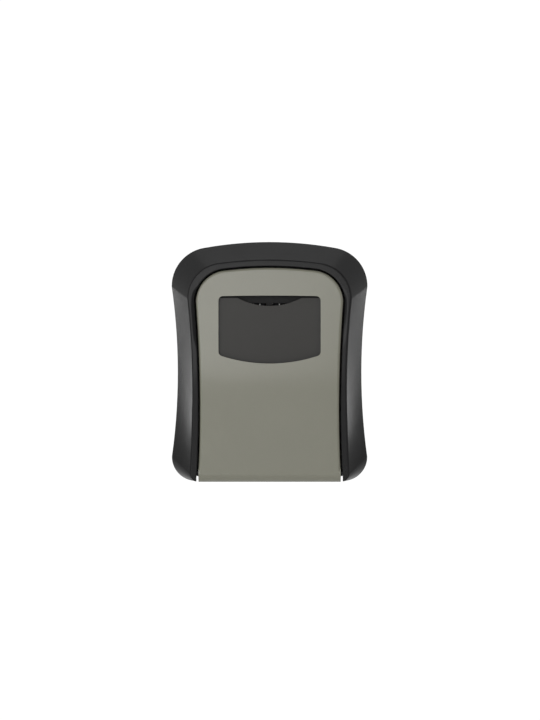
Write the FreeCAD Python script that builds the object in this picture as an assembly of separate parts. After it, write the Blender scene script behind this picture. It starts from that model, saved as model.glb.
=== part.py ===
import FreeCAD, Part
import math
import os
from FreeCAD import Vector

# Wall-mounted key lock box, in millimetres. X right, Y into the wall, Z up.
# Heights h are measured from the lowest edge; the origin is the centre of the rear face.
baseZ = -58.0

# Front surface: an arc about an X axis behind the box, then a straight lower slope.
frontRadius = 220.0
frontY = 180.0
frontH = 72.0
arcHalf = 32.0

# Outlines seen from the front: half widths and heights.
doorLine = {"top": 103.3, "crown": 177.0, "cx": 20.75, "ch": 86.9, "corner": 14.7,
            "waist": 33.5, "waistH": 38.0, "foot": 34.5, "footH": 0.4, "footCorner": 0.4}
outerLine = {"top": 116.2, "crown": 179.0, "cx": 28.1, "ch": 94.6, "corner": 19.4,
             "waist": 44.55, "waistH": 53.1, "foot": 47.4, "footH": 12.0, "footCorner": 11.7}
creaseLine = {"top": 106.7, "crown": 180.0, "cx": 22.0, "ch": 88.1, "corner": 17.0,
              "waist": 36.7, "waistH": 38.0, "foot": 37.7, "footH": 3.3, "footCorner": 3.0}

# Surround
sideDepth = 16.0
lipDrop = 0.8
lipThick = 2.2
skinThick = 2.2
armFoot = 0.3
doorGap = 0.9
innerWall = 2.6
housingFront = -23.3

# Housing
housingWall = 2.0
backWall = 2.5
housingFoot = 2.6
wallScrewX = 18.0
wallScrewH = 30.0
wallScrewR = 2.6
earH = (22.0, 88.0)
earX = 39.7

# Door and hinge
doorWall = 1.6
doorSide = 2.0
doorRear = -24.2
hingeY = -28.0
hingeH = 4.5
barrelR = 4.4
pinR = 1.5
pinRun = 0.05
framePostH = (56, 92.2)
coverPostH = (16, 75)
postX = 29.6

# Shutter
shutterGap = 0.15
shutterThick = 1.6
shutterHalf = 26.0
shutterLow = 53.0
shutterTop = 88.9

# Dials
dialPitch = 9.4
dialX = [-1.5 * dialPitch, -0.5 * dialPitch, 0.5 * dialPitch, 1.5 * dialPitch]
dialY = -28.2
dialH = 81.0
dialR = 8.0
dialHalf = 2.8
hubR = 4.3
ringBore = 4.36
toothR = 5.25
spindleR = 1.5

# Latch and its fence
latchY = (-18.6, -17.2)
latchTop = 101.2
tabX = (9.0, 14.0)
keeperH = 98.0
strikeH = (101.5, 102.7)
springX = 15.2
springY = -22.2


def block(x, y, h):
    size = (x[1] - x[0], y[1] - y[0], h[1] - h[0])
    return Part.makeBox(size[0], size[1], size[2], Vector(x[0], y[0], h[0] + baseZ))


def rodX(x, y, h, r):
    return Part.makeCylinder(r, x[1] - x[0], Vector(x[0], y, h + baseZ), Vector(1, 0, 0))


def rodY(x, y, h, r):
    return Part.makeCylinder(r, y[1] - y[0], Vector(x, y[0], h + baseZ), Vector(0, 1, 0))


def rodZ(x, y, h, r):
    return Part.makeCylinder(r, h[1] - h[0], Vector(x, y, h[0] + baseZ), Vector(0, 0, 1))


def mirrored(shape):
    return shape.mirror(Vector(0, 0, 0), Vector(1, 0, 0))


def bothSides(shape):
    return [shape, mirrored(shape)]


def fuseAll(shapes):
    return shapes[0].multiFuse(shapes[1:]).removeSplitter()


def cutAll(shape, tools):
    return shape.cut(tools).removeSplitter()


def save(name, shape):
    shape.exportStep("parts/" + name + ".step")


def arc(a, b, c):
    return Part.Arc(a, b, c).toShape()


# Depth of the front surface at a height, set back by drop.
def frontAt(h, drop):
    r = frontRadius - drop
    run = math.sqrt(frontRadius ** 2 - arcHalf ** 2) / frontRadius
    fall = arcHalf / frontRadius
    if h > frontH - r * fall:
        return frontY - math.sqrt(r ** 2 - (h - frontH) ** 2)
    return frontY - r * run + (frontH - r * fall - h) * fall / run


# Half width of an outline's waisted side at a height.
def sideAt(line, grow, h):
    shoulder = Vector(line["cx"] + line["corner"] + grow, line["ch"], 0)
    waist = Vector(line["waist"] + grow, line["waistH"], 0)
    foot = Vector(line["foot"] + grow, line["footH"], 0)
    circle = Part.Circle(shoulder, waist, foot)
    return circle.Center.x - math.sqrt(circle.Radius ** 2 - (h - circle.Center.y) ** 2)


# A closed outline: crown, shoulders, waisted sides, feet. It lies in a plane of constant y,
# or with a drop it lies that far behind the front surface.
def outline(line, grow, foot, y, drop=None):
    top = line["top"] + grow
    crown = line["crown"] + grow
    corner = line["corner"] + grow
    cx = line["cx"]
    ch = line["ch"]
    toe = max(0.3, line["footCorner"] + grow)
    toeX = sideAt(line, grow, foot + toe) - toe
    lean = math.atan2(cx, ch - (top - crown))
    diag = math.sqrt(0.5)
    mid = (math.pi / 2 - lean) / 2

    def at(x, h):
        depth = y if drop is None else frontAt(h, drop)
        return Vector(x, depth, h + baseZ)

    shoulder = (crown * math.sin(lean), top - crown + crown * math.cos(lean))
    bend = (cx + corner * math.cos(mid), ch + corner * math.sin(mid))
    side = (cx + corner, ch)
    waist = (line["waist"] + grow, line["waistH"])
    ankle = (toeX + toe, foot + toe)
    toeMid = (toeX + toe * diag, foot + toe - toe * diag)
    sole = (toeX, foot)
    edges = [arc(at(-shoulder[0], shoulder[1]), at(0, top), at(*shoulder))]
    edges.append(arc(at(*shoulder), at(*bend), at(*side)))
    edges.append(arc(at(*side), at(*waist), at(*ankle)))
    edges.append(arc(at(*ankle), at(*toeMid), at(*sole)))
    edges.append(Part.makeLine(at(*sole), at(-sole[0], sole[1])))
    edges.append(arc(at(-sole[0], sole[1]), at(-toeMid[0], toeMid[1]), at(-ankle[0], ankle[1])))
    edges.append(arc(at(-ankle[0], ankle[1]), at(-waist[0], waist[1]), at(-side[0], side[1])))
    edges.append(arc(at(-side[0], side[1]), at(-bend[0], bend[1]), at(-shoulder[0], shoulder[1])))
    return Part.Wire(edges)


def prism(line, grow, foot, y):
    return Part.Face(outline(line, grow, foot, y[0])).extrude(Vector(0, y[1] - y[0], 0))


# A sloped ring of wall between two outlines, closed front and back.
def slopedBody(rear, front):
    faces = [Part.makeRuledSurface(a, b) for a, b in zip(rear.Edges, front.Edges)]
    faces.append(Part.Face(rear))
    faces.append(Part.makeFilledFace(front.Edges))
    shell = Part.makeShell(faces)
    shell.sewShape()
    body = Part.Solid(shell)
    if body.Volume < 0:
        body.reverse()
    return body


# Everything behind the front surface, set back by drop.
def behindFront(drop):
    def onFront(h):
        return Vector(-70, frontAt(h, drop), h + baseZ)

    jointH = frontH - (frontRadius - drop) * arcHalf / frontRadius
    joint = onFront(jointH)
    low = onFront(jointH - 50)
    high = onFront(124.0)
    edges = [arc(high, onFront(frontH), joint)]
    edges.append(Part.makeLine(joint, low))
    edges.append(Part.makeLine(low, Vector(-70, 20, low.z)))
    edges.append(Part.makeLine(Vector(-70, 20, low.z), Vector(-70, 20, high.z)))
    edges.append(Part.makeLine(Vector(-70, 20, high.z), high))
    return Part.Face(Part.Wire(edges)).extrude(Vector(140, 0, 0))


# A sheet bent about the shutter's axis, between two radii.
def bentSheet(outer, inner, x, h):
    ring = rodX(x, frontY, frontH, outer).cut(rodX(x, frontY, frontH, inner))
    return ring.common(block((x[0] - 1, x[1] + 1), (-60, -20), h))


def frontEdges(shape, drop):
    found = []
    for edge in shape.Edges:
        middle = edge.valueAt((edge.FirstParameter + edge.LastParameter) / 2)
        points = [vertex.Point for vertex in edge.Vertexes] + [middle]
        gaps = []
        for p in points:
            h = p.z - baseZ
            gaps.append(abs(math.hypot(p.y - frontY, h - frontH) - frontRadius + drop))
        straight = abs(edge.tangentAt(edge.FirstParameter).y) > 0.9
        across = abs(edge.tangentAt(edge.FirstParameter).x) > 0.99 and middle.z < 0
        if max(gaps) < 4.5 and middle.y < -30 and not straight and not across:
            found.append(edge)
    return found


def windowTool():
    half = 24.55
    points = [(-half, 61.4), (-half, 89.6), (half, 89.6), (half, 61.4)]
    at = [Vector(x, -50, h + baseZ) for x, h in points]
    edges = [Part.makeLine(at[0], at[1])]
    edges.append(arc(at[1], Vector(0, -50, 89.9 + baseZ), at[2]))
    edges.append(Part.makeLine(at[2], at[3]))
    edges.append(arc(at[3], Vector(0, -50, 57.25 + baseZ), at[0]))
    tool = Part.Face(Part.Wire(edges)).extrude(Vector(0, 20, 0))
    corners = [edge for edge in tool.Edges if abs(edge.tangentAt(edge.FirstParameter).y) > 0.9]
    return tool.makeFillet(2.2, corners)


def surround():
    rear = prism(outerLine, 0, armFoot, (-sideDepth, 0))
    slope = slopedBody(outline(outerLine, 0, armFoot, -sideDepth),
                       outline(creaseLine, 0, armFoot, 0, lipDrop - 1.0))
    body = rear.fuse(slope).common(behindFront(lipDrop)).removeSplitter()
    crease = [e for e in frontEdges(body, lipDrop) if e.Length > 1 and e.BoundBox.ZMax - baseZ > 4]
    body = body.makeFillet(0.8, crease)
    inside = -skinThick
    hollowRear = prism(outerLine, inside, armFoot + skinThick, (-sideDepth, 1))
    hollowSlope = slopedBody(outline(outerLine, inside, armFoot + skinThick, -sideDepth),
                             outline(creaseLine, inside + 0.6, armFoot + skinThick, 0, lipDrop + 1.0))
    hollow = hollowRear.fuse(hollowSlope).common(behindFront(lipDrop + lipThick))
    hollow = hollow.cut(prism(doorLine, innerWall, -10, (-50, housingFront - 0.2)))
    posts = []
    for h in earH:
        post = rodY(earX, (-40, -backWall), h, 2.9)
        posts += bothSides(post)
    body = body.cut(hollow.cut(Part.makeCompound(posts)))
    holes = []
    for h in earH:
        holes += bothSides(rodY(earX, (-14, 0), h, 1.3))
        holes += bothSides(rodY(earX, (-backWall, 1), h, 3.2))
    holes.append(prism(doorLine, doorGap, -10, (-50, 1)))
    holes.append(prism(doorLine, innerWall + 0.1, -10, (housingFront - 0.2, 1)))
    holes += bothSides(block((35.0, 37.8), (-30.9, 1), (1.5, 9.4)))
    for h in earH:
        holes += bothSides(block((35.0, earX), (-backWall - 0.1, 1), (h - 3.2, h + 3.2)))
    return cutAll(body, holes)


def rearHousing():
    body = prism(doorLine, innerWall, housingFoot, (housingFront, 0))
    room = prism(doorLine, innerWall - housingWall, housingFoot + housingWall, (-50, -backWall))
    body = body.cut(room)
    pad = block((-17, 17), (-20.6, -9.5), (strikeH[1], 108)).common(prism(doorLine, 1, 0, (-30, 0)))
    shapes = [body, pad]
    for h in earH:
        ear = block((34.5, earX), (-backWall, 0), (h - 3.0, h + 3.0))
        shapes += bothSides(ear.fuse(rodY(earX, (-backWall, 0), h, 3.0)))
    lug = block((35.4, 37.5), (hingeY, -20), (hingeH - 2.4, hingeH + 3.5))
    lug = lug.fuse(rodX((35.4, 37.5), hingeY, hingeH, 2.6))
    shapes += bothSides(lug)
    body = fuseAll(shapes)
    holes = [rodX((-40, 40), hingeY, hingeH, pinR)]
    for h in earH:
        holes += bothSides(rodY(earX, (-5, 1), h, 1.6))
        holes += bothSides(rodY(earX, (-1.5, 1), h, 2.7))
    for x in (-wallScrewX, wallScrewX):
        for h in (-wallScrewH, wallScrewH):
            holes.append(rodY(x, (-5, 1), h - baseZ, wallScrewR))
    for x in (-12, 12):
        holes.append(rodZ(x, -13, (100, 104.8), 1.2))
    return cutAll(body, holes)


def surroundScrews():
    screws = []
    for h in earH:
        shank = rodY(earX, (-12, -0.9), h, 1.3)
        head = rodY(earX, (-1.5, -0.1), h, 2.6)
        head = head.cut(block((earX - 2, earX + 2), (-0.6, 0), (h - 0.3, h + 0.3)))
        neck = rodY(earX, (-backWall, -1.5), h, 1.3)
        screws += bothSides(fuseAll([shank, head, neck]))
    return Part.makeCompound(screws)


def hingePin():
    return rodX((-37.6, 37.6), hingeY, hingeH, pinR)


def strikePlate():
    lip = block((-17, 17), (-20.6, -19.1), (keeperH, strikeH[1]))
    flange = block((-17, 17), (-20.6, -9.5), strikeH)
    plate = fuseAll([lip, flange])
    return cutAll(plate, [rodZ(x, -13, (100, 105), 1.5) for x in (-12, 12)])


def strikeScrews():
    screws = []
    for x in (-12, 12):
        head = rodZ(x, -13, (strikeH[0] - 1.3, strikeH[0]), 2.2)
        head = head.cut(block((x - 3, x + 3), (-13.3, -12.7), (100, strikeH[0] - 0.8)))
        screws.append(fuseAll([head, rodZ(x, -13, (strikeH[0], 104.6), 1.2)]))
    return Part.makeCompound(screws)


def doorFront():
    shell = prism(doorLine, 0, 0, (-45, doorRear)).common(behindFront(0))
    shell = shell.cut(block((-50, 50), (-60, 10), (-10, 4.2)))
    edges = [e for e in frontEdges(shell, 0) if e.BoundBox.ZMax - baseZ > 6]
    shell = shell.makeFillet(1.2, edges)
    room = prism(doorLine, -doorSide, 9.4, (-45, doorRear + 1)).common(behindFront(doorWall))
    shell = shell.cut(room).cut(windowTool())
    barrel = rodX((-34.3, 34.3), hingeY, hingeH, barrelR)
    shapes = [shell]
    outer = frontRadius - doorWall + 0.6
    inner = frontRadius - doorWall - shutterGap - shutterThick
    rail = bentSheet(outer, inner - 1.5, (26.3, 27.9), (24.5, 90.5))
    lip = bentSheet(inner - 0.15, inner - 1.5, (25.0, 26.4), (24.5, 90.5))
    stop = bentSheet(outer, inner - 1.5, (20.0, 27.9), (22.5, 24.5))
    shapes += bothSides(rail.fuse(lip))
    shapes += bothSides(stop)
    posts = []
    for h in coverPostH:
        posts.append((h, -25.8))
    for h in framePostH:
        posts.append((h, -34.3))
    for h, y in posts:
        shapes += bothSides(rodY(postX, (-45, y), h, 2.3))
    body = fuseAll([s.common(behindFront(0)) for s in shapes] + [barrel])
    holes = [rodX((-40, 40), hingeY, hingeH, pinR + pinRun)]
    for h, y in posts:
        depth = 2.4 if y < -30 else 6.0
        holes += bothSides(rodY(postX, (y - depth, y), h, 1.2))
    return cutAll(body, holes)


def shutter():
    outer = frontRadius - doorWall - shutterGap
    plate = bentSheet(outer, outer - shutterThick, (-shutterHalf, shutterHalf), (shutterLow, shutterTop))
    scoop = rodY(0, (-45, -30), 85.0 + 32.4, 32.4)
    return plate.cut(scoop).removeSplitter()


def dialFrame():
    plate = block((-24.5, 24.5), (-35.7, -34.3), (52.5, 95.5))
    slots = [block((x - dialHalf - 0.25, x + dialHalf + 0.25), (-40, -30), (75.8, 86.2)) for x in dialX]
    slots.append(block((-10.5, 10.5), (-40, -30), (59.6, 72.0)))
    shapes = [cutAll(plate, slots)]
    for h in framePostH:
        ear = block((22.5, postX), (-34.3, -33.0), (h - 2.1, h + 2.1))
        shapes += bothSides(ear.fuse(rodY(postX, (-34.3, -33.0), h, 2.1)))
    shapes.append(block((-21.4, -20.0), (-34.4, -24.0), (76.5, 94)))
    shapes.append(block((23.1, 24.5), (-34.4, -24.0), (76.5, 94)))
    shapes.append(block((-21.4, 24.5), (-34.4, -20.0), (92.6, 94)))
    shapes.append(block((-20.4, 20.4), (-21.4, -20.0), (92.6, 95.3)))
    shapes.append(block((-20.4, 20.4), (-34.4, -19.8), (56.8, 58.2)))
    body = fuseAll(shapes)
    holes = [rodX((-30, 30), dialY, dialH, spindleR + 0.05)]
    for h in framePostH:
        holes += bothSides(rodY(postX, (-40, -30), h, 1.4))
    for x in (-9.4, 9.4):
        holes.append(rodY(x, (-22, -19), 93.9, 0.8))
    return cutAll(body, holes)


def frameScrews():
    screws = []
    for h in framePostH:
        head = rodY(postX, (-33.0, -31.7), h, 2.0)
        head = head.cut(block((27, 32), (-32.3, -31), (h - 0.3, h + 0.3)))
        screws += bothSides(fuseAll([head, rodY(postX, (-36.6, -33.0), h, 1.2)]))
    return Part.makeCompound(screws)


def dialDetent():
    shapes = [block((-19, 19), (-20.0, -19.6), (92.2, 95.3))]
    for x in dialX:
        shapes.append(block((x - 1.3, x + 1.3), (-20.0, -19.6), (79.8, 92.4)))
        shapes.append(rodX((x - 1.3, x + 1.3), -20.35, dialH + 2.47, 0.45))
    body = fuseAll(shapes)
    return cutAll(body, [rodY(x, (-22, -19), 93.9, 0.8) for x in (-9.4, 9.4)])


def detentRivets():
    rivets = []
    for x in (-9.4, 9.4):
        head = rodY(x, (-19.6, -19.0), 93.9, 1.2)
        rivets.append(fuseAll([head, rodY(x, (-21.4, -19.6), 93.9, 0.8)]))
    return Part.makeCompound(rivets)


def dialRing(x):
    ring = rodX((x - dialHalf, x + dialHalf), dialY, dialH, dialR)
    rims = [e for e in ring.Edges if isinstance(e.Curve, Part.Circle)]
    ring = ring.makeChamfer(0.35, rims)
    tools = [rodX((x - 4, x + 4), dialY, dialH, ringBore)]
    tools.append(rodX((x + 1.0, x + 4), dialY, dialH, toothR + 0.2))
    for k in range(10):
        angle = math.radians(36 * k + 18)
        y = dialY + dialR * math.cos(angle)
        h = dialH + dialR * math.sin(angle)
        tools.append(rodX((x - 4, x + 4), y, h, 0.7))
        groove = block((x - 0.7, x + 1.1), (dialY + 3.5, dialY + toothR + 0.2), (dialH - 0.85, dialH + 0.85))
        groove.rotate(Vector(x, dialY, dialH + baseZ), Vector(1, 0, 0), 36 * k)
        tools.append(groove)
    return cutAll(ring, tools)


def sleeve(x):
    hub = rodX((x - 2.7, x + 2.8), dialY, dialH, hubR)
    drum = rodX((x + 2.75, x + 5.6), dialY, dialH, toothR)
    shapes = [hub, drum]
    for k in range(5):
        tooth = block((x + 1.15, x + 2.8), (dialY + 3.0, dialY + toothR), (dialH - 0.7, dialH + 0.7))
        tooth.rotate(Vector(x, dialY, dialH + baseZ), Vector(1, 0, 0), 72 * k)
        shapes.append(tooth)
    body = fuseAll(shapes)
    gate = block((x + 2.76, x + 6), (dialY - 0.9, dialY + 0.9), (dialH + 2.4, dialH + 9))
    return cutAll(body, [gate, rodX((x - 6, x + 8), dialY, dialH, spindleR)])


def spindle():
    rod = rodX((-22.9, 25.6), dialY, dialH, spindleR)
    grooves = []
    for x in (-17.7, 22.45):
        grooves.append(rodX((x, x + 0.5), dialY, dialH, 3).cut(rodX((x, x + 0.5), dialY, dialH, 1.1)))
    return cutAll(rod, grooves)


def spindleClips():
    clips = []
    for x in (-17.7, 22.45):
        clip = rodX((x, x + 0.5), dialY, dialH, 2.9).cut(rodX((x - 1, x + 2), dialY, dialH, 1.1))
        clips.append(clip.cut(block((x - 1, x + 2), (dialY - 0.9, dialY + 0.9), (dialH - 5, dialH))))
    return Part.makeCompound(clips)


def changeLever():
    hub = rodX((20.3, 22.4), dialY, dialH, 3.6)
    arm = block((20.3, 22.4), (dialY, -13.4), (dialH - 1.8, dialH + 1.8))
    knob = block((19.9, 22.8), (-14.9, -12.4), (dialH - 2.4, dialH + 2.4))
    body = fuseAll([hub, arm, knob])
    return body.cut(rodX((10, 30), dialY, dialH, spindleR))


def latchPlate():
    plate = block((-18, 18), latchY, (61.6, 93.6))
    shapes = [plate]
    shapes += bothSides(block(tabX, latchY, (93.0, latchTop)))
    for x in dialX:
        shapes.append(block((x + 2.98, x + 3.78), (-28.9, -18.0), (90.3, 91.9)))
        shapes.append(block((x + 2.98, x + 3.78), (-28.9, -27.5), (dialH + 6.3, 91.9)))
    shapes += bothSides(block((12.8, 17.8), (-24.7, -18.0), (66.2, 67.4)))
    body = fuseAll(shapes)
    holes = bothSides(rodY(5.5, (-20, -16), 65.6, 1.4))
    holes.append(block((-8, 8), (-20, -16), (72, 86)))
    return cutAll(body, holes)


def latchButton():
    face = block((-10.2, 10.2), (-36.2, -32.6), (64.2, 71.6))
    front = [e for e in face.Edges if e.BoundBox.YMax < -36]
    face = face.makeFillet(0.9, front)
    stem = block((-8, 8), (-33.0, -18.6), (63.4, 67.8))
    groove = rodX((-8.5, 8.5), -37.0, 67.4, 1.5)
    tools = [groove] + bothSides(rodY(5.5, (-24, -18), 65.6, 1.1))
    return cutAll(fuseAll([face, stem]), tools)


def latchScrews():
    screw = fuseAll([rodY(5.5, (-17.2, -17.05), 65.6, 2.0), rodY(5.5, (-23.5, -17.2), 65.6, 1.1)])
    return Part.makeCompound(bothSides(screw))


def latchSpring(side):
    wire = 0.32
    coil = 1.9
    low = 58.2 + wire
    tall = 66.2 - 58.2 - 2 * wire
    helix = Part.makeHelix(tall / 5.0, tall, coil)
    helix.translate(Vector(side * springX, springY, low + baseZ))
    start = Vector(side * springX + coil, springY, low + baseZ)
    ring = Part.Wire(Part.makeCircle(wire, start, Vector(0, 1, 0)))
    return Part.Wire(helix).makePipeShell([ring], True, True)


def backCover():
    inset = -doorSide - 0.2
    plate = prism(doorLine, inset, 10.4, (-25.8, -24.4))
    caseOut = block((-26.4, 26.4), (-25.8, -15.6), (55, 97))
    caseIn = block((-25.0, 25.0), (-30, -17.0), (56.4, 95.6))
    body = plate.fuse(caseOut).cut(caseIn)
    holes = []
    for h in coverPostH:
        holes += bothSides(rodY(postX, (-30, -20), h, 1.4))
    holes += bothSides(block((tabX[0] - 0.4, tabX[1] + 0.4), (-19.1, -16.9), (90, 99)))
    holes.append(block((18.1, 23.4), (-18, -14), (dialH - 2.4, dialH + 2.4)))
    return cutAll(body, holes)


def backCoverScrews():
    screws = []
    for h in coverPostH:
        head = rodY(postX, (-24.4, -23.2), h, 2.0)
        head = head.cut(block((27, 32), (-23.8, -22), (h - 0.3, h + 0.3)))
        screws += bothSides(fuseAll([head, rodY(postX, (-31, -24.4), h, 1.2)]))
    return Part.makeCompound(screws)


os.makedirs("parts", exist_ok=True)
save("surround", surround())
save("rear_housing", rearHousing())
save("surround_screws", surroundScrews())
save("hinge_pin", hingePin())
save("strike_plate", strikePlate())
save("strike_screws", strikeScrews())
save("door_front", doorFront())
save("shutter", shutter())
save("dial_frame", dialFrame())
save("frame_screws", frameScrews())
save("dial_detent_spring", dialDetent())
save("detent_rivets", detentRivets())
for number, x in enumerate(dialX, 1):
    save("dial_" + str(number), dialRing(x))
    save("sleeve_" + str(number), sleeve(x))
save("spindle", spindle())
save("spindle_clips", spindleClips())
save("change_lever", changeLever())
save("latch_plate", latchPlate())
save("latch_button", latchButton())
save("latch_screws", latchScrews())
save("latch_spring_left", latchSpring(-1))
save("latch_spring_right", latchSpring(1))
save("back_cover", backCover())
save("back_cover_screws", backCoverScrews())
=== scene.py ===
import math
import bmesh
import bpy
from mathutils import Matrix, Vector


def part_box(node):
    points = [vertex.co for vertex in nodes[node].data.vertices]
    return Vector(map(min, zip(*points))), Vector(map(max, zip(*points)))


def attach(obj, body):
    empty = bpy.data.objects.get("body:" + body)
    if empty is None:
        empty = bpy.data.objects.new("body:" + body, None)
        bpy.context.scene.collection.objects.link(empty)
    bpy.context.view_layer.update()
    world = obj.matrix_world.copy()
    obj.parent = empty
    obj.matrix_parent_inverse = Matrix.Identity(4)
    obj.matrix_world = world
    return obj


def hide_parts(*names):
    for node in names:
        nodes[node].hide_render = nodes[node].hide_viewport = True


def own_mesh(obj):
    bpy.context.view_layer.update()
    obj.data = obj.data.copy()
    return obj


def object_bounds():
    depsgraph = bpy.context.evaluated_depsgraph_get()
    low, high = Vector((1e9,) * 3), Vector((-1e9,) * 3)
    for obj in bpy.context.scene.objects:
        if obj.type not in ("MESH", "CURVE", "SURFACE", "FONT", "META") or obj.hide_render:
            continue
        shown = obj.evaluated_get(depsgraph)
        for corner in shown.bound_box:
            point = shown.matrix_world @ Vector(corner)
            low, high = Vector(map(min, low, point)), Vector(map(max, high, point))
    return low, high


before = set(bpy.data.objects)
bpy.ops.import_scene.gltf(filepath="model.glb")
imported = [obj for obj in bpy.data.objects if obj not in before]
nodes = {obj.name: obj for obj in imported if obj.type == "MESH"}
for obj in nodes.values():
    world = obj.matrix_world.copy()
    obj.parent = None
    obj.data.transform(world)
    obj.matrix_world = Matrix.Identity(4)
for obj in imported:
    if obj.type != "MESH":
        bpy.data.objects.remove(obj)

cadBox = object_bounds()
mm = 0.001
low, high = cadBox
middle = (low + high) / 2


# helpers for the node groups, which every material uses
def newGroup(name, inputs, outputs):
    tree = bpy.data.node_groups.new(name, "ShaderNodeTree")
    for label, kind, value in inputs:
        made = tree.interface.new_socket(label, in_out="INPUT", socket_type=kind)
        made.default_value = value
    for label, kind in outputs:
        tree.interface.new_socket(label, in_out="OUTPUT", socket_type=kind)
    start = tree.nodes.new("NodeGroupInput")
    end = tree.nodes.new("NodeGroupOutput")
    return tree, start, end


def addNode(tree, kind, values=None, **settings):
    node = tree.nodes.new(kind)
    for key, value in settings.items():
        setattr(node, key, value)
    for key, value in (values or {}).items():
        node.inputs[key].default_value = value
    return node


def objectPoint(tree):
    return addNode(tree, "ShaderNodeTexCoord").outputs["Object"]


def makeGrain():  # fine moulded or sprayed texture, as a height
    tree, start, end = newGroup(
        "Grain", [("Scale", "NodeSocketFloat", 2500.0)], [("Height", "NodeSocketFloat")])
    point = objectPoint(tree)
    noise = addNode(tree, "ShaderNodeTexNoise", {"Detail": 3.0, "Roughness": 0.6})
    cells = addNode(tree, "ShaderNodeTexVoronoi", feature="SMOOTH_F1")
    both = addNode(tree, "ShaderNodeMath", operation="ADD")
    tree.links.new(point, noise.inputs["Vector"])
    tree.links.new(point, cells.inputs["Vector"])
    tree.links.new(start.outputs["Scale"], noise.inputs["Scale"])
    tree.links.new(start.outputs["Scale"], cells.inputs["Scale"])
    tree.links.new(noise.outputs["Fac"], both.inputs[0])
    tree.links.new(cells.outputs["Distance"], both.inputs[1])
    tree.links.new(both.outputs[0], end.inputs["Height"])
    return tree


def makeDrift():  # slow change of tone, as a colour and a roughness
    tree, start, end = newGroup(
        "Drift",
        [("Color", "NodeSocketColor", (0.5, 0.5, 0.5, 1)), ("Amount", "NodeSocketFloat", 0.1),
         ("Roughness", "NodeSocketFloat", 0.5), ("Scale", "NodeSocketFloat", 60.0)],
        [("Color", "NodeSocketColor"), ("Roughness", "NodeSocketFloat")])
    point = objectPoint(tree)
    slow = addNode(tree, "ShaderNodeTexNoise", {"Detail": 4.0, "Roughness": 0.55})
    speck = addNode(tree, "ShaderNodeTexNoise", {"Scale": 1800.0, "Detail": 2.0})
    mixed = addNode(tree, "ShaderNodeMath", operation="ADD")
    centred = addNode(tree, "ShaderNodeMath", {1: 1.0}, operation="SUBTRACT")
    sized = addNode(tree, "ShaderNodeMath", operation="MULTIPLY")
    gain = addNode(tree, "ShaderNodeMath", {1: 1.0}, operation="ADD")
    tinted = addNode(tree, "ShaderNodeVectorMath", operation="SCALE")
    rough = addNode(tree, "ShaderNodeMath", {1: 0.6}, operation="MULTIPLY")
    total = addNode(tree, "ShaderNodeMath", operation="ADD")
    total.use_clamp = True
    tree.links.new(point, slow.inputs["Vector"])
    tree.links.new(point, speck.inputs["Vector"])
    tree.links.new(start.outputs["Scale"], slow.inputs["Scale"])
    tree.links.new(slow.outputs["Fac"], mixed.inputs[0])
    tree.links.new(speck.outputs["Fac"], mixed.inputs[1])
    tree.links.new(mixed.outputs[0], centred.inputs[0])
    tree.links.new(centred.outputs[0], sized.inputs[0])
    tree.links.new(start.outputs["Amount"], sized.inputs[1])
    tree.links.new(sized.outputs[0], gain.inputs[0])
    tree.links.new(start.outputs["Color"], tinted.inputs[0])
    tree.links.new(gain.outputs[0], tinted.inputs["Scale"])
    tree.links.new(tinted.outputs[0], end.inputs["Color"])
    tree.links.new(sized.outputs[0], rough.inputs[0])
    tree.links.new(rough.outputs[0], total.inputs[0])
    tree.links.new(start.outputs["Roughness"], total.inputs[1])
    tree.links.new(total.outputs[0], end.inputs["Roughness"])
    return tree


def makeWear():  # rubbed outer edges, as a mask broken up by noise
    tree, start, end = newGroup(
        "EdgeWear", [("Radius", "NodeSocketFloat", 0.4 * mm), ("Amount", "NodeSocketFloat", 0.5)],
        [("Mask", "NodeSocketFloat")])
    rounded = addNode(tree, "ShaderNodeBevel", samples=4)
    shape = addNode(tree, "ShaderNodeNewGeometry")
    dot = addNode(tree, "ShaderNodeVectorMath", operation="DOT_PRODUCT")
    turned = addNode(tree, "ShaderNodeMapRange",
                     {"From Min": 0.995, "From Max": 0.86, "To Min": 0.0, "To Max": 1.0})
    noise = addNode(tree, "ShaderNodeTexNoise", {"Scale": 420.0, "Detail": 5.0})
    broken = addNode(tree, "ShaderNodeMapRange", {"From Min": 0.42, "From Max": 0.62})
    both = addNode(tree, "ShaderNodeMath", operation="MULTIPLY")
    sized = addNode(tree, "ShaderNodeMath", operation="MULTIPLY")
    tree.links.new(start.outputs["Radius"], rounded.inputs["Radius"])
    tree.links.new(rounded.outputs[0], dot.inputs[0])
    tree.links.new(shape.outputs["Normal"], dot.inputs[1])
    tree.links.new(dot.outputs["Value"], turned.inputs["Value"])
    tree.links.new(objectPoint(tree), noise.inputs["Vector"])
    tree.links.new(noise.outputs["Fac"], broken.inputs["Value"])
    tree.links.new(turned.outputs[0], both.inputs[0])
    tree.links.new(broken.outputs[0], both.inputs[1])
    tree.links.new(both.outputs[0], sized.inputs[0])
    tree.links.new(start.outputs["Amount"], sized.inputs[1])
    tree.links.new(sized.outputs[0], end.inputs["Mask"])
    return tree


def makeRecess():  # painted shade: creases and hollows darkened from ambient occlusion, as a mask
    tree, start, end = newGroup(
        "PaintedCreaseShade", [("Distance", "NodeSocketFloat", 3 * mm), ("Amount", "NodeSocketFloat", 0.6)],
        [("Mask", "NodeSocketFloat")])
    near = addNode(tree, "ShaderNodeAmbientOcclusion", samples=6)
    near.only_local = False
    paintedShadeMask = addNode(tree, "ShaderNodeMath", {0: 1.0}, operation="SUBTRACT")
    sized = addNode(tree, "ShaderNodeMath", operation="MULTIPLY")
    tree.links.new(start.outputs["Distance"], near.inputs["Distance"])
    tree.links.new(near.outputs["AO"], paintedShadeMask.inputs[1])
    tree.links.new(paintedShadeMask.outputs[0], sized.inputs[0])
    tree.links.new(start.outputs["Amount"], sized.inputs[1])
    tree.links.new(sized.outputs[0], end.inputs["Mask"])
    return tree


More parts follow.
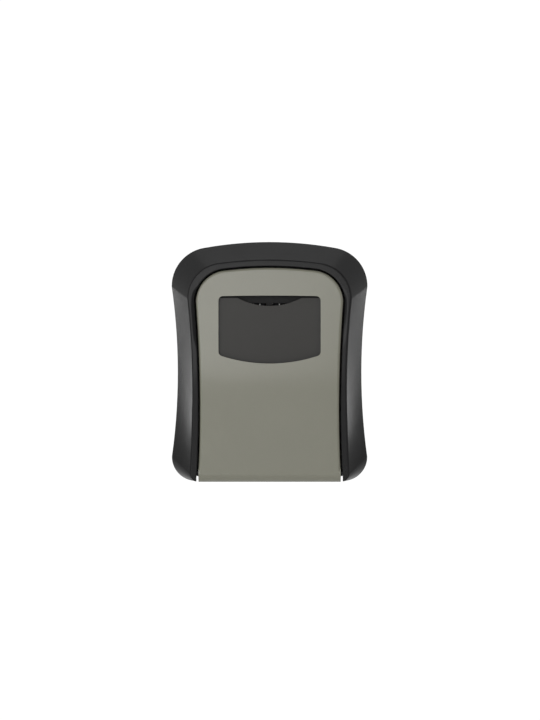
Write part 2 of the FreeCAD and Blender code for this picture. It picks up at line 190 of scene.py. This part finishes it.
def makeBrushed():  # drawn or turned lines in metal, as a height
    tree, start, end = newGroup(
        "Brushed", [("Stretch", "NodeSocketVector", (60.0, 4000.0, 4000.0))],
        [("Height", "NodeSocketFloat")])
    placed = addNode(tree, "ShaderNodeVectorMath", operation="MULTIPLY")
    noise = addNode(tree, "ShaderNodeTexNoise", {"Scale": 1.0, "Detail": 3.0})
    tree.links.new(objectPoint(tree), placed.inputs[0])
    tree.links.new(start.outputs["Stretch"], placed.inputs[1])
    tree.links.new(placed.outputs[0], noise.inputs["Vector"])
    tree.links.new(noise.outputs["Fac"], end.inputs["Height"])
    return tree


grain = makeGrain()
drift = makeDrift()
wear = makeWear()
paintedShadeGroup = makeRecess()
brushed = makeBrushed()
print("node groups made")


def useGroup(tree, group, values):
    node = tree.nodes.new("ShaderNodeGroup")
    node.node_tree = group
    for key, value in values.items():
        node.inputs[key].default_value = value
    return node


# values for what a look leaves out; the edge radius, the reach of the painted crease shade and the bump
# are in millimetres
plainLook = {"metal": 0.0, "gloss": 0.5, "coat": 0.0, "coatRough": 0.25, "coatIor": 1.5,
             "drift": 0.12, "driftScale": 60.0, "edge": 0.35, "wear": 0.3, "wornGain": 1.6,
             "shadeReach": 3.0, "creaseShade": 0.5, "creaseShadeGain": 0.35, "grain": 2500.0, "relief": 0.25,
             "bump": 0.05}


def makeMaterial(name, ownLook):
    look = {**plainLook, **ownLook}
    color = look["color"]
    material = bpy.data.materials.new(name)
    material.use_nodes = True
    tree = material.node_tree
    shader = tree.nodes["Principled BSDF"]
    shader.inputs["Metallic"].default_value = look["metal"]
    shader.inputs["Specular IOR Level"].default_value = look["gloss"]
    shader.inputs["Coat Weight"].default_value = look["coat"]
    shader.inputs["Coat Roughness"].default_value = look["coatRough"]
    shader.inputs["Coat IOR"].default_value = look["coatIor"]
    tone = useGroup(tree, drift, {"Color": (*color, 1), "Amount": look["drift"],
                                  "Roughness": look["rough"], "Scale": look["driftScale"]})
    worn = useGroup(tree, wear, {"Radius": look["edge"] * mm, "Amount": look["wear"]})
    # painted shade: the base colour is darkened in creases and hollows by the occlusion mask, by the given
    # amount and gain
    paintedShadeMask = useGroup(tree, paintedShadeGroup, {"Distance": look["shadeReach"] * mm, "Amount": look["creaseShade"]})
    rubbed = addNode(tree, "ShaderNodeMix", data_type="RGBA")
    wornColor = look.get("wearColor", [c * look["wornGain"] for c in color])
    rubbed.inputs["B"].default_value = (*wornColor, 1)
    creaseShaded = addNode(tree, "ShaderNodeMix", data_type="RGBA")
    creaseShaded.inputs["B"].default_value = (*[c * look["creaseShadeGain"] for c in color], 1)
    tree.links.new(worn.outputs["Mask"], rubbed.inputs["Factor"])
    tree.links.new(tone.outputs["Color"], rubbed.inputs["A"])
    tree.links.new(rubbed.outputs["Result"], creaseShaded.inputs["A"])
    tree.links.new(paintedShadeMask.outputs["Mask"], creaseShaded.inputs["Factor"])
    tree.links.new(creaseShaded.outputs["Result"], shader.inputs["Base Color"])
    tree.links.new(tone.outputs["Roughness"], shader.inputs["Roughness"])
    if "stretch" in look:
        relief = useGroup(tree, brushed, {"Stretch": look["stretch"]})
    else:
        relief = useGroup(tree, grain, {"Scale": look["grain"]})
    bump = addNode(tree, "ShaderNodeBump", {"Strength": look["relief"], "Distance": look["bump"] * mm})
    rounded = addNode(tree, "ShaderNodeBevel", {"Radius": look["edge"] * mm}, samples=6)
    tree.links.new(relief.outputs["Height"], bump.inputs["Height"])
    tree.links.new(rounded.outputs[0], bump.inputs["Normal"])
    tree.links.new(bump.outputs[0], shader.inputs["Normal"])
    return material


def dress(names, material):
    for name in names:
        piece = nodes[name]
        if not piece.data.materials:
            piece.data.materials.append(material)
        for slot in piece.material_slots:
            slot.material = material


# the three pieces of the front
surroundLook = {"color": (0.013, 0.013, 0.0132), "rough": 0.21, "gloss": 0.22, "grain": 2600.0,
                "relief": 0.15, "edge": 0.7, "wear": 0.15, "drift": 0.18, "creaseShade": 0.4}
dress(["surround"], makeMaterial("surroundPlastic", surroundLook))

doorLook = {"color": (0.209, 0.207, 0.157), "rough": 0.42, "gloss": 0.25, "coat": 1.0,
            "coatRough": 0.19, "coatIor": 1.6, "grain": 3200.0, "relief": 0.08, "edge": 0.35,
            "wear": 0.1, "drift": 0.07, "creaseShade": 0.45, "shadeReach": 2.0}
dress(["door_front"], makeMaterial("doorPaint", doorLook))

shutterLook = {"color": (0.025, 0.0235, 0.0205), "rough": 0.38, "gloss": 0.38, "grain": 3000.0,
               "relief": 0.2, "edge": 0.3, "wear": 0.15, "drift": 0.12, "creaseShade": 0.7, "shadeReach": 2.5}
dress(["shutter"], makeMaterial("shutterPlastic", shutterLook))
print("front materials set")

# inner metal and plastic pieces
housingLook = {"color": (0.06, 0.06, 0.058), "rough": 0.55, "grain": 1800.0, "relief": 0.5, "wear": 0.5,
               "wearColor": (0.32, 0.32, 0.31), "edge": 0.4}
dress(["rear_housing"], makeMaterial("housingCoat", housingLook))

# the dial frame gets strong painted crease shade, so it reads dark through the shutter's thumb notch
framePlasticLook = {"color": (0.009, 0.009, 0.009), "rough": 0.5, "gloss": 0.2, "grain": 2400.0,
                    "relief": 0.3, "edge": 0.25, "creaseShade": 0.8}
dress(["dial_frame"], makeMaterial("framePlastic", framePlasticLook))

coverLook = {"color": (0.035, 0.035, 0.036), "rough": 0.48, "grain": 1600.0, "relief": 0.4, "wear": 0.5,
             "wearColor": (0.35, 0.35, 0.34), "edge": 0.4}
dress(["back_cover"], makeMaterial("coverCoat", coverLook))

buttonLook = {"color": (0.30, 0.295, 0.28), "rough": 0.38, "grain": 3000.0, "relief": 0.15, "edge": 0.3}
dress(["latch_button"], makeMaterial("buttonPlastic", buttonLook))

leverLook = {"color": (0.55, 0.55, 0.52), "rough": 0.4, "grain": 3000.0, "relief": 0.15, "edge": 0.3}
dress(["change_lever"], makeMaterial("leverPlastic", leverLook))

dialLook = {"color": (0.016, 0.016, 0.017), "rough": 0.36, "grain": 3200.0, "relief": 0.15, "edge": 0.2,
            "wear": 0.4, "wearColor": (0.08, 0.08, 0.08)}
dials = ["dial_1", "dial_2", "dial_3", "dial_4"]
dress(dials, makeMaterial("dialPlastic", dialLook))

brassLook = {"color": (0.62, 0.44, 0.17), "rough": 0.3, "metal": 1.0, "stretch": (4000.0, 80.0, 80.0),
             "relief": 0.3, "edge": 0.15, "creaseShade": 0.7}
dress(["sleeve_1", "sleeve_2", "sleeve_3", "sleeve_4"], makeMaterial("turnedBrass", brassLook))

zincLook = {"color": (0.58, 0.57, 0.53), "rough": 0.34, "metal": 1.0, "stretch": (120.0, 3000.0, 3000.0),
            "relief": 0.3, "edge": 0.2, "drift": 0.3, "creaseShade": 0.6}
dress(["latch_plate", "strike_plate"], makeMaterial("zincPlate", zincLook))

springLook = {"color": (0.46, 0.46, 0.45), "rough": 0.28, "metal": 1.0, "stretch": (3000.0, 3000.0, 200.0),
              "relief": 0.2, "edge": 0.05, "creaseShade": 0.5}
springMetal = makeMaterial("springSteel", springLook)
dress(["dial_detent_spring", "latch_spring_left", "latch_spring_right", "spindle_clips"], springMetal)

spindleLook = {"color": (0.32, 0.32, 0.325), "rough": 0.3, "metal": 1.0, "stretch": (3500.0, 120.0, 120.0),
               "relief": 0.25, "edge": 0.1}
dress(["spindle"], makeMaterial("groundSteel", spindleLook))

pinLook = {"color": (0.035, 0.035, 0.037), "rough": 0.42, "metal": 1.0, "stretch": (3500.0, 120.0, 120.0),
           "relief": 0.25, "edge": 0.1}
dress(["hinge_pin"], makeMaterial("blackedSteel", pinLook))

screwLook = {"color": (0.5, 0.49, 0.46), "rough": 0.36, "metal": 1.0, "grain": 3500.0, "relief": 0.3,
             "edge": 0.2, "creaseShade": 0.8, "drift": 0.3}
dress(["surround_screws", "strike_screws", "frame_screws", "back_cover_screws", "latch_screws",
       "detent_rivets"], makeMaterial("screwPlate", screwLook))
print("inner materials set")

# white numbers round each dial
inkLook = {"color": (0.78, 0.78, 0.76), "rough": 0.45, "grain": 3000.0, "relief": 0.15, "edge": 0.03,
           "wear": 0.0, "creaseShade": 0.2}
inkMaterial = makeMaterial("numberInk", inkLook)
# edge is the longest edge left in a digit of size 1, so that the digit bends with the dial
numbers = {"height": 3.7 * mm, "stand": 0.04 * mm, "count": 10, "edge": 0.14, "cuts": 4}


def numberMesh(text):
    curve = bpy.data.curves.new("numberCurve", "FONT")
    curve.body = text
    curve.size = 1.0
    curve.align_x = "CENTER"
    curve.resolution_u = 3
    shape = bpy.data.objects.new("numberShape", curve)
    bpy.context.scene.collection.objects.link(shape)
    bpy.context.view_layer.update()
    mesh = bpy.data.meshes.new_from_object(shape.evaluated_get(bpy.context.evaluated_depsgraph_get()))
    bpy.data.objects.remove(shape)
    return mesh


def addNumbers(node, body):
    corner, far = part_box(node)
    centre = (corner + far) / 2
    radius = (far.z - corner.z) / 2 + numbers["stand"]
    made = bmesh.new()
    for digit in range(numbers["count"]):
        part = bmesh.new()
        part.from_mesh(numberMesh(str(digit)))
        for cut in range(numbers["cuts"]):
            bmesh.ops.triangulate(part, faces=part.faces)
            longEdges = [e for e in part.edges if e.calc_length() > numbers["edge"]]
            bmesh.ops.subdivide_edges(part, edges=longEdges, cuts=1)
        xs = [v.co.x for v in part.verts]
        ys = [v.co.y for v in part.verts]
        scale = numbers["height"] / (max(ys) - min(ys))
        midX = (max(xs) + min(xs)) / 2
        midY = (max(ys) + min(ys)) / 2
        for vert in part.verts:
            angle = (vert.co.y - midY) * scale / radius + 2 * math.pi * digit / numbers["count"]
            x = centre.x + (vert.co.x - midX) * scale
            vert.co = (x, centre.y - radius * math.cos(angle), centre.z + radius * math.sin(angle))
        plain = bpy.data.meshes.new("plainNumber")
        part.to_mesh(plain)
        made.from_mesh(plain)
        part.free()
    mesh = bpy.data.meshes.new(node + "_numbers")
    made.to_mesh(mesh)
    made.free()
    piece = bpy.data.objects.new(node + "_numbers", mesh)
    bpy.context.scene.collection.objects.link(piece)
    mesh.materials.append(inkMaterial)
    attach(piece, body)


for dial in dials:
    addNumbers(dial, dial)  # each dial's body has the dial's name
print("dial numbers made")

# latch springs, as wire coils that take the place of the plain spring pieces
coil = {"wire": 0.32 * mm, "turns": 6.5, "steps": 26, "flat": 0.08, "ends": 6}


def addCoil(node, name):
    corner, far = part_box(node)
    centre = (corner + far) / 2
    radius = (far.x - corner.x) / 2 - coil["wire"]
    rise = far.z - corner.z - 2 * coil["wire"]
    count = int(coil["turns"] * coil["steps"])
    curve = bpy.data.curves.new(name, "CURVE")
    curve.dimensions = "3D"
    curve.bevel_depth = coil["wire"]
    curve.bevel_resolution = 3
    curve.use_fill_caps = True
    line = curve.splines.new("POLY")
    line.points.add(count)
    for step in range(count + 1):
        share = step / count
        angle = 2 * math.pi * coil["turns"] * share
        # the first and last sixth of the coil lie flatter
        closing = min(1.0, coil["ends"] * share, coil["ends"] * (1 - share))
        spread = 1 - coil["flat"] + coil["flat"] * closing
        height = corner.z + coil["wire"] + rise * (0.5 + (share - 0.5) * spread)
        line.points[step].co = (centre.x + radius * math.cos(angle),
                                centre.y + radius * math.sin(angle), height, 1)
    shape = bpy.data.objects.new(name + "_curve", curve)
    bpy.context.scene.collection.objects.link(shape)
    bpy.context.view_layer.update()
    mesh = bpy.data.meshes.new_from_object(shape.evaluated_get(bpy.context.evaluated_depsgraph_get()))
    bpy.data.objects.remove(shape)
    piece = bpy.data.objects.new(name, mesh)
    bpy.context.scene.collection.objects.link(piece)
    mesh.materials.clear()
    mesh.materials.append(springMetal)
    for face in mesh.polygons:
        face.use_smooth = True
    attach(piece, "door")
    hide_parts(node)
    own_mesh(piece)


addCoil("latch_spring_left", "latch_coil_left")
addCoil("latch_spring_right", "latch_coil_right")
print("springs made")

# floor, light and camera
floorLook = {"drop": 0.35, "half": 6.0, "front": -6.0, "back": 2.2, "tone": 0.8, "rough": 0.7,
             "glow": 0.16, "lift": 0.34}  # the glow lights the box, the lift is only seen
floorMesh = bpy.data.meshes.new("studioFloor")
depth = low.z - floorLook["drop"]
half = floorLook["half"]
corners = [(-half, floorLook["front"], depth), (half, floorLook["front"], depth),
           (half, floorLook["back"], depth), (-half, floorLook["back"], depth)]
floorMesh.from_pydata(corners, [], [(0, 1, 2, 3)])
floor = bpy.data.objects.new("studioFloor", floorMesh)
bpy.context.scene.collection.objects.link(floor)
floorPaint = bpy.data.materials.new("floorPaint")
floorPaint.use_nodes = True
paper = floorPaint.node_tree.nodes["Principled BSDF"]
paper.inputs["Base Color"].default_value = (floorLook["tone"],) * 3 + (1,)
paper.inputs["Roughness"].default_value = floorLook["rough"]
paper.inputs["Emission Color"].default_value = (1, 1, 1, 1)
seenFloor = addNode(floorPaint.node_tree, "ShaderNodeLightPath")
lift = addNode(floorPaint.node_tree, "ShaderNodeMath", {1: floorLook["lift"], 2: floorLook["glow"]},
               operation="MULTIPLY_ADD")
floorPaint.node_tree.links.new(seenFloor.outputs["Is Camera Ray"], lift.inputs[0])
floorPaint.node_tree.links.new(lift.outputs[0], paper.inputs["Emission Strength"])
floorMesh.materials.append(floorPaint)

skyLook = {"seen": 1.05, "lit": 0.30}
world = bpy.data.worlds.new("studioWorld")
bpy.context.scene.world = world
world.use_nodes = True
sky = world.node_tree
seen = sky.nodes["Background"]
seen.inputs["Color"].default_value = (1, 1, 1, 1)
seen.inputs["Strength"].default_value = skyLook["seen"]
lit = addNode(sky, "ShaderNodeBackground", {"Color": (1, 1, 1, 1), "Strength": skyLook["lit"]})
path = addNode(sky, "ShaderNodeLightPath")
choice = addNode(sky, "ShaderNodeMixShader")
sky.links.new(path.outputs["Is Camera Ray"], choice.inputs[0])
sky.links.new(lit.outputs[0], choice.inputs[1])
sky.links.new(seen.outputs[0], choice.inputs[2])
sky.links.new(choice.outputs[0], sky.nodes["World Output"].inputs["Surface"])


def addLamp(name, lamp):
    data = bpy.data.lights.new(name, "AREA")
    data.shape = "RECTANGLE"
    data.size, data.size_y = lamp["size"]
    data.energy = lamp["power"]
    panel = bpy.data.objects.new(name, data)
    bpy.context.scene.collection.objects.link(panel)
    panel.location = lamp["place"]
    panel.visible_camera = False
    panel.rotation_euler = (middle - panel.location).to_track_quat("-Z", "Y").to_euler()


# the front softbox ends a little below level, so the lower slope of the door stays darker
lampFront = {"place": (-0.41, -1.3, 0.24), "size": (1.0, 1.14), "power": 7.8}
addLamp("lampFront", lampFront)

# side panels behind the box light the waisted flanks at a grazing angle
lampLeft = {"place": (-0.80, 0.95, -0.09), "size": (0.30, 0.08), "power": 0.21}
lampRight = {"place": (0.80, 0.95, -0.09), "size": (0.30, 0.08), "power": 0.175}
addLamp("lampLeft", lampLeft)
addLamp("lampRight", lampRight)

# weak panels at the sides, above and behind show the form from other angles
fillLeft = {"place": (-1.35, -0.65, 0.45), "size": (0.6, 0.9), "power": 1.0}
fillRight = {"place": (1.35, -0.65, 0.45), "size": (0.6, 0.9), "power": 1.0}
fillTop = {"place": (0.0, 0.62, 1.25), "size": (1.2, 0.5), "power": 1.1}
fillBack = {"place": (0.0, 1.70, 0.35), "size": (0.9, 0.6), "power": 3.0}
addLamp("fillLeft", fillLeft)
addLamp("fillRight", fillRight)
addLamp("fillTop", fillTop)
addLamp("fillBack", fillBack)
print("floor and lamps ready")

scene = bpy.context.scene
scene.view_settings.view_transform = "Standard"
view = {"focal": 250.0, "sensor": 36.0, "distance": 2.442, "right": 0.0002, "up": 0.0008}
lens = bpy.data.cameras.new("frontCamera")
lens.lens = view["focal"]
lens.sensor_width = view["sensor"]
lens.sensor_fit = "AUTO"
lens.clip_start = 0.05
camera = bpy.data.objects.new("frontCamera", lens)
scene.collection.objects.link(camera)
camera.location = (view["right"], -view["distance"], middle.z + view["up"])
camera.rotation_euler = (math.pi / 2, 0, 0)
scene.camera = camera
print("camera ready")
